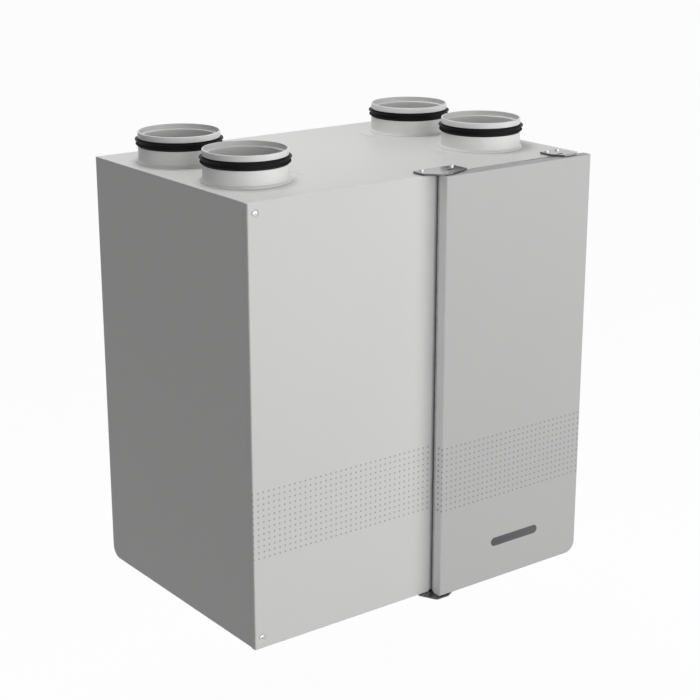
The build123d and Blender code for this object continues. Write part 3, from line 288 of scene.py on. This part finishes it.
def doorRun(finish):
    lastColumn = 0.005
    corner = doorHigh.x - lastColumn - doorLow.y
    return finish.place.part("X") - finish.place.part("Y") - corner


def frontOnly(finish):
    return finish.facing.part("Y") < -0.5


def hingeEdge(finish):
    return finish.facing.part("X") < -0.7


# upward faces; on the door these get a painted shade tone
def upperEdge(finish):
    return finish.facing.part("Z") > 0.7


def frontAndLeft(finish):
    return frontOnly(finish).atLeast(hingeEdge(finish))


def galvanised(name, colour, spangle=90.0):
    finish = Finish(name, Specular_IOR_Level=0.5)
    flake = finish.cells(spangle, outlet="Color").part("X")
    rolled = finish.noise(1.0, 3.0, 0.6, finish.stretched((6.0, 6.0, 420.0)))
    finish.feed("Base Color", finish.mix(flake, shade(colour, 0.90), shade(colour, 1.08)))
    finish.feed("Roughness", 0.38 + flake * 0.16 + rolled * 0.06)
    finish.feed("Metallic", 0.72 + flake * 0.16)
    finish.feed("Normal", finish.bump(rolled + flake * 0.4, 0.00004, 0.5))
    return finish.material


def turnedMetal(name, colour, roughness, grain=1800.0):
    finish = Finish(name, Metallic=1.0)
    worn = finish.noise(220.0, 4.0, 0.6)
    lines = finish.noise(grain, 2.0)
    finish.feed("Base Color", finish.mix(worn, shade(colour, 0.82), shade(colour, 1.08)))
    finish.feed("Roughness", roughness + (worn - 0.5) * 0.16 + (lines - 0.5) * 0.08)
    finish.feed("Normal", finish.bump(lines, 0.00002, 0.6))
    return finish.material


def glossPaint(name, colour):
    finish = Finish(name, Specular_IOR_Level=1.0, Coat_Roughness=0.08)
    peel = finish.noise(480.0, 2.0)
    dust = finish.noise(60.0, 5.0, 0.7)
    finish.feed("Base Color", finish.mix(dust.eased(0.5, 0.8) * 0.35, colour, shade(colour, 2.6)))
    finish.feed("Roughness", 0.20 + dust * 0.16)
    finish.feed("Coat Weight", 0.95 - dust * 0.25)
    finish.feed("Normal", finish.bump(peel, 0.00005, 0.6))
    return finish.material


def softRubber(name, colour):
    finish = Finish(name, Specular_IOR_Level=0.16)
    bloom = finish.noise(38.0, 4.0, 0.65)
    pores = finish.noise(1500.0, 2.0)
    finish.feed("Base Color", finish.mix(bloom.eased(0.45, 0.75) * 0.5, colour, shade(colour, 2.2)))
    finish.feed("Roughness", 0.50 + bloom * 0.14 + (pores - 0.5) * 0.1)
    finish.feed("Normal", finish.bump(pores, 0.00003, 0.6))
    return finish.material


def mouldedPlastic(name, colour, roughness=0.45, texture=1100.0, depth=0.00003):
    finish = Finish(name, Specular_IOR_Level=0.46)
    flow = finish.noise(14.0, 4.0, 0.6)
    spark = finish.noise(texture, 2.0, 0.6)
    finish.feed("Base Color", finish.mix(flow, shade(colour, 0.955), shade(colour, 1.03)))
    finish.feed("Roughness", roughness + (flow - 0.5) * 0.10 + (spark - 0.5) * 0.10)
    finish.feed("Normal", finish.bump(spark, depth, 0.7))
    return finish.material


def beadFoam(name, colour, bead=230.0):
    # fused beads a few millimetres wide with darker, sunken joints
    finish = Finish(name, Specular_IOR_Level=0.3)
    edge = finish.cells(bead, "DISTANCE_TO_EDGE")
    tint = finish.cells(bead, outlet="Color").part("Y")
    joint = edge.eased(0.0, 0.09)
    beadTone = finish.mix(tint, shade(colour, 0.9), shade(colour, 1.15))
    finish.feed("Base Color", finish.mix(joint, shade(colour, 0.55), beadTone))
    finish.feed("Roughness", 0.74 + tint * 0.12 - joint * 0.05)
    finish.feed("Normal", finish.bump(joint, 0.0003, 0.7))
    return finish.material


def fibreSheet(name, colour, scale=900.0, depth=0.00012):
    finish = Finish(name, Specular_IOR_Level=0.2)
    fibre = finish.noise(scale, 5.0, 0.72)
    patch = finish.noise(26.0, 3.0)
    finish.feed("Base Color", finish.mix(fibre.eased(0.35, 0.7), shade(colour, 0.86), shade(colour, 1.05)))
    finish.feed("Roughness", 0.86 + (patch - 0.5) * 0.12)
    finish.feed("Normal", finish.bump(fibre + patch * 0.5, depth, 0.8))
    return finish.material


def wovenStrap(name, colour, thread=0.0011):
    finish = Finish(name, Specular_IOR_Level=0.25)
    turn = 2 * math.pi / thread
    across = (finish.place.part("X") * turn).sine()
    along = (finish.place.part("Z") * turn).sine()
    weave = (across * along).size()
    finish.feed("Base Color", finish.mix(weave, shade(colour, 0.6), shade(colour, 1.5)))
    finish.feed("Roughness", 0.85 - weave * 0.1)
    finish.feed("Normal", finish.bump(weave, 0.0002, 0.8))
    return finish.material


def circuitLacquer(name, colour):
    finish = Finish(name, Specular_IOR_Level=0.5)
    track = finish.cells(260.0, "DISTANCE_TO_EDGE", spread=0.25).eased(0.02, 0.06)
    finish.feed("Base Color", finish.mix(track, shade(colour, 1.7), colour))
    finish.feed("Roughness", 0.32 + track * 0.08)
    finish.feed("Normal", finish.bump(track, 0.00005, 0.5))
    return finish.material


white = (0.735, 0.735, 0.728)
doorWhite = (0.555, 0.555, 0.551)
# painted light on the door's hinge-side faces (lighter) and painted shade on its upward faces (darker), set
# by which way each face points
doorPaintedLightAndShade = [(hingeEdge, (0.88, 0.88, 0.875)), (upperEdge, (0.36, 0.36, 0.36))]

finishes = {
    "casing_white": powderCoat("casing_powder_coat", white),
    "door_white": powderCoat("door_powder_coat_and_painted_face_light", doorWhite, dotBand(doorRun, frontAndLeft), doorPaintedLightAndShade),
    "zinc_sheet": galvanised("galvanised_sheet", (0.60, 0.61, 0.62)),
    "steel_screw": turnedMetal("zinc_plated_steel", (0.66, 0.66, 0.66), 0.30),
    "black_bracket": glossPaint("black_gloss_paint", (0.008, 0.008, 0.009)),
    "spigot_grey": mouldedPlastic("collar_plastic", (0.80, 0.80, 0.794), 0.40),
    "seal_black": softRubber("black_seal_rubber", (0.004, 0.004, 0.004)),
    "buffer_black": softRubber("black_buffer_rubber", (0.020, 0.020, 0.020)),
    "foam_grey": beadFoam("charcoal_bead_foam", (0.060, 0.060, 0.063)),
    "foam_white": beadFoam("white_bead_foam", (0.66, 0.66, 0.64)),
    "plate_pale": mouldedPlastic("exchanger_film", (0.58, 0.62, 0.64), 0.28, 300.0),
    "frame_plastic": mouldedPlastic("exchanger_plastic", (0.050, 0.054, 0.058), 0.5),
    "filter_card": fibreSheet("filter_card", (0.56, 0.50, 0.40), 420.0),
    "filter_fleece": fibreSheet("filter_fleece", (0.72, 0.72, 0.69), 1400.0, 0.0003),
    "strap_web": wovenStrap("pull_strap_webbing", (0.022, 0.022, 0.026)),
    "fan_plastic": mouldedPlastic("fan_housing_plastic", (0.026, 0.026, 0.029), 0.48),
    "impeller_plastic": mouldedPlastic("fan_wheel_plastic", (0.045, 0.048, 0.053), 0.42),
    "motor_metal": turnedMetal("motor_casting", (0.52, 0.53, 0.54), 0.46, 700.0),
    "tray_plastic": mouldedPlastic("drain_tray_plastic", (0.034, 0.034, 0.037), 0.45),
    "drain_black": mouldedPlastic("drain_socket_plastic", (0.016, 0.016, 0.017), 0.38),
    "board_green": circuitLacquer("control_board_lacquer", (0.015, 0.095, 0.035)),
    "gland_grey": mouldedPlastic("gland_plastic", (0.11, 0.115, 0.12), 0.42),
    "bush_nylon": mouldedPlastic("bush_nylon", (0.020, 0.020, 0.020), 0.36),
    "magnet_grey": turnedMetal("nickel_plate", (0.50, 0.49, 0.47), 0.24),
}
ownFinish = {
    "front_panel": powderCoat("front_panel_powder_coat", white, dotBand(panelRun, frontOnly)),
}
badgeFinish = mouldedPlastic("badge_enamel", (0.085, 0.087, 0.092), 0.30, 800.0, 0.00001)

for part in frame["record"]["subparts"]:
    node = part["node"]
    finish = ownFinish.get(node, finishes[part["material_slot"]])
    meshSlots = nodes[node].material_slots
    if meshSlots:
        for meshSlot in meshSlots:
            meshSlot.material = finish
    else:
        nodes[node].data.materials.append(finish)
print("finishes given")


# ---- making pieces
def newPiece(name, bm, finish, body="casing", sharpAngle=32.0):
    bmesh.ops.remove_doubles(bm, verts=bm.verts, dist=0.000001)
    bmesh.ops.recalc_face_normals(bm, faces=bm.faces)
    mesh = bpy.data.meshes.new(name)
    bm.to_mesh(mesh)
    bm.free()
    mesh.shade_smooth()
    mesh.set_sharp_from_angle(angle=math.radians(sharpAngle))
    mesh.materials.append(finish)
    piece = bpy.data.objects.new(name, mesh)
    bpy.context.collection.objects.link(piece)
    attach(piece, body)
    return piece


def bevelEdges(bm, edges, width, segments):
    bmesh.ops.bevel(
        bm, geom=list(edges), offset=width, offset_type="OFFSET", affect="EDGES",
        segments=segments, profile=0.5, material=-1, clamp_overlap=True)


# ---- recessed pan-head screws
screwShape = {
    "headRadius": 0.0052,
    "headHeight": 0.0026,
    "recessReach": 0.0030,
    "recessWidth": 0.00105,
    "recessDepth": 0.0016,
    "recessTaper": 0.55,
    "shankRadius": 0.0020,
    "shankLength": 0.009,
    "segments": 48,
}


def screwHead(bm, centre, out, shape):
    # a domed head with a cross recess, made along +Z and turned to face out
    own = bmesh.new()
    rounds = shape["segments"]
    radius, height, reach = shape["headRadius"], shape["headHeight"], shape["recessReach"]
    profile = [
        (0.0, 0.0), (radius, 0.0), (radius, height * 0.38), (radius * 0.94, height * 0.66),
        (radius * 0.80, height * 0.88), (radius * 0.62, height)]
    verts = [own.verts.new((x, 0.0, z)) for x, z in profile]
    edges = [own.edges.new(pair) for pair in zip(verts, verts[1:])]
    bmesh.ops.spin(
        own, geom=verts + edges, cent=(0, 0, 0), axis=(0, 0, 1), angle=2 * math.pi,
        steps=rounds, use_merge=True)
    bmesh.ops.remove_doubles(own, verts=own.verts, dist=0.00001)
    rim = [edge for edge in own.edges if edge.is_boundary]
    half = shape["recessWidth"] / 2
    cross = [
        (reach, half), (half, half), (half, reach), (-half, reach), (-half, half), (-reach, half),
        (-reach, -half), (-half, -half), (-half, -reach), (half, -reach), (half, -half), (reach, -half)]
    mouth = [own.verts.new((x, y, height)) for x, y in cross]
    mouthEdges = [own.edges.new(pair) for pair in zip(mouth, mouth[1:] + mouth[:1])]
    bmesh.ops.triangle_fill(own, use_beauty=True, edges=rim + mouthEdges, normal=(0, 0, 1))
    inside = [
        face for face in own.faces
        if all(vert in mouth for vert in face.verts)]
    bmesh.ops.delete(own, geom=inside, context="FACES_ONLY")
    floor = bmesh.ops.extrude_edge_only(own, edges=mouthEdges)["geom"]
    floorVerts = [item for item in floor if isinstance(item, bmesh.types.BMVert)]
    for vert in floorVerts:
        vert.co.z -= shape["recessDepth"]
        vert.co.x *= shape["recessTaper"]
        vert.co.y *= shape["recessTaper"]
    floorEdges = [
        edge for edge in own.edges
        if edge.verts[0] in floorVerts and edge.verts[1] in floorVerts]
    bmesh.ops.triangle_fill(own, use_beauty=True, edges=floorEdges, normal=(0, 0, 1))
    shank, shankLength = shape["shankRadius"], shape["shankLength"]
    bmesh.ops.create_cone(
        own, cap_ends=True, segments=24, radius1=shank, radius2=shank, depth=shankLength,
        matrix=Matrix.Translation((0, 0, -shankLength / 2)))
    turn = Vector(out).to_track_quat("Z", "Y").to_matrix().to_4x4()
    bmesh.ops.transform(own, matrix=Matrix.Translation(centre) @ turn, verts=own.verts)
    spare = bpy.data.meshes.new("spare")
    own.to_mesh(spare)
    own.free()
    bm.from_mesh(spare)
    bpy.data.meshes.remove(spare)


def panelScrews():
    low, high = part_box("front_panel_screws")
    radius = screwShape["headRadius"]
    seat = low.y + screwShape["headHeight"]
    bm = bmesh.new()
    for height in (low.z + radius, high.z - radius):
        screwHead(bm, ((low.x + high.x) / 2, seat, height), (0, -1, 0), screwShape)
    piece = newPiece("front_panel_cross_screws", bm, finishes["steel_screw"])
    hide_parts("front_panel_screws")


panelScrews()
print("screws made")


# ---- plain badge on the door
badgeShape = {
    "left": 0.520,  # from the casing's left side
    "right": 0.637,
    "low": 0.066,  # above the casing's bottom
    "high": 0.083,
    "corner": 0.0085,
    "thickness": 0.0009,
    "sink": 0.0001,  # into the door's face
    "edge": 0.0003,
}


def doorBadge(shape):
    bm = bmesh.new()
    bmesh.ops.create_grid(bm, x_segments=1, y_segments=1, size=0.5)
    wide, tall = shape["right"] - shape["left"], shape["high"] - shape["low"]
    bmesh.ops.scale(bm, vec=(wide, tall, 1.0), verts=bm.verts)
    bmesh.ops.bevel(
        bm, geom=list(bm.verts), offset=shape["corner"], offset_type="OFFSET", affect="VERTICES",
        segments=10, profile=0.5, material=-1)
    bmesh.ops.solidify(bm, geom=list(bm.faces), thickness=shape["thickness"])
    bmesh.ops.recalc_face_normals(bm, faces=bm.faces)
    low = min(vert.co.z for vert in bm.verts)
    high = max(vert.co.z for vert in bm.verts)
    rim = [edge for edge in bm.edges if all(abs(vert.co.z - high) < 1e-6 for vert in edge.verts)]
    bevelEdges(bm, rim, shape["edge"], 2)
    bmesh.ops.translate(bm, vec=(0, 0, -low), verts=bm.verts)
    centre = Vector((
        topLow.x + (shape["left"] + shape["right"]) / 2, doorLow.y + shape["sink"],
        bottomLow.z + (shape["low"] + shape["high"]) / 2))
    turn = Matrix.Rotation(math.radians(90), 4, "X")
    bmesh.ops.transform(bm, matrix=Matrix.Translation(centre) @ turn, verts=bm.verts)
    return newPiece("door_badge", bm, badgeFinish, "door")


doorBadge(badgeShape)


# ---- raised flow arrows on the top panel
arrowShape = {
    "length": 0.046,
    "head": 0.020,
    "headLength": 0.015,
    "shaft": 0.008,
    "raise": 0.0005,
    "sink": 0.0002,  # into the top panel
    "gap": 0.103,  # from a collar's centre
}


def flowArrows(shape):
    bm = bmesh.new()
    tip, head, shaft = shape["length"] / 2, shape["head"] / 2, shape["shaft"] / 2
    neck = tip - shape["headLength"]
    outline = [
        (-tip, -shaft), (neck, -shaft), (neck, -head), (tip, 0), (neck, head), (neck, shaft), (-tip, shaft)]
    for port, (side, turn) in {
            "supply": (1, 90), "exhaust": (1, 90), "outdoor": (-1, -90), "extract": (-1, -90)}.items():
        low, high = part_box(port + "_spigot")
        centre = (low + high) / 2
        place = Matrix.Translation((centre.x + side * shape["gap"], centre.y, topHigh.z - shape["sink"]))
        face = bm.faces.new([bm.verts.new((*point, 0.0)) for point in outline])
        raised = bmesh.ops.extrude_face_region(bm, geom=[face])["geom"]
        upper = [item for item in raised if isinstance(item, bmesh.types.BMVert)]
        bmesh.ops.translate(bm, vec=(0, 0, shape["raise"] + shape["sink"]), verts=upper)
        both = upper + list(face.verts)
        bmesh.ops.transform(bm, matrix=place @ Matrix.Rotation(math.radians(turn), 4, "Z"), verts=both)
    return newPiece("flow_arrows", bm, finishes["casing_white"])


flowArrows(arrowShape)
print("badge and arrows made")


# ---- floor, light
stageValues = {
    "floorDrop": 0.30,
    "floorSize": 40.0,
    "floorColour": (0.34, 0.34, 0.34),
    "floorGlow": 1.13,  # what the lens and the glossy faces see of the pale floor
    "glowShare": 0.85,
    "skyGlow": 1.0,
    "skyLight": 0.185,
}
lamps = {
    "key": {"place": (2.5, -3.8, 0.2), "size": (3.2, 1.8), "power": 72.0},
    "front": {"place": (-0.9, -4.2, 0.7), "size": (2.2, 2.2), "power": 54.0},
    "top": {"place": (-0.1, 0.1, 1.5), "size": (0.8, 0.8), "power": 12.5},
}


def brightRay(tree):
    rays = tree.nodes.new("ShaderNodeLightPath").outputs
    either = tree.nodes.new("ShaderNodeMath")
    either.operation = "MAXIMUM"
    tree.links.new(rays["Is Camera Ray"], either.inputs[0])
    tree.links.new(rays["Is Glossy Ray"], either.inputs[1])
    return either.outputs[0]


def makeStage(values):
    bm = bmesh.new()
    bmesh.ops.create_grid(bm, x_segments=1, y_segments=1, size=values["floorSize"] / 2)
    bmesh.ops.translate(bm, vec=(0, 0, cadBox[0].z - values["floorDrop"]), verts=bm.verts)
    mesh = bpy.data.meshes.new("floor")
    bm.to_mesh(mesh)
    bm.free()
    paint = Finish("floor_paint", Roughness=0.9, Specular_IOR_Level=0.1)
    drift = paint.noise(0.8, 2.0)
    colour = values["floorColour"]
    paint.feed("Base Color", paint.mix(drift, shade(colour, 0.98), colour))
    glow = paint.node("ShaderNodeEmission", {}, {"Color": (1, 1, 1, 1), "Strength": values["floorGlow"]})
    seen = Wire(paint, brightRay(paint.tree)) * values["glowShare"]
    base = Wire(paint, paint.shader.outputs[0])
    blend = paint.node("ShaderNodeMixShader", {}, {0: seen, 1: base, 2: glow})
    paint.tree.links.new(blend.socket, paint.tree.nodes["Material Output"].inputs["Surface"])
    mesh.materials.append(paint.material)
    floor = bpy.data.objects.new("floor", mesh)
    bpy.context.collection.objects.link(floor)
    world = bpy.data.worlds.new("studio")
    bpy.context.scene.world = world
    world.use_nodes = True
    tree = world.node_tree
    sky = tree.nodes["Background"]
    sky.inputs["Color"].default_value = (1, 1, 1, 1)
    strength = tree.nodes.new("ShaderNodeMapRange")
    strength.inputs["To Min"].default_value = values["skyLight"]
    strength.inputs["To Max"].default_value = values["skyGlow"]
    tree.links.new(brightRay(tree), strength.inputs["Value"])
    tree.links.new(strength.outputs[0], sky.inputs["Strength"])


def makeLamps(lamps):
    target = (cadBox[0] + cadBox[1]) / 2
    for name, values in lamps.items():
        data = bpy.data.lights.new(name, "AREA")
        data.shape = "RECTANGLE"
        data.size, data.size_y = values["size"]
        data.energy = values["power"]
        lamp = bpy.data.objects.new(name, data)
        bpy.context.collection.objects.link(lamp)
        lamp.location = values["place"]
        lamp.rotation_mode = "QUATERNION"
        lamp.rotation_quaternion = (target - lamp.location).to_track_quat("-Z", "Y")


makeStage(stageValues)
makeLamps(lamps)
print("stage and light made")
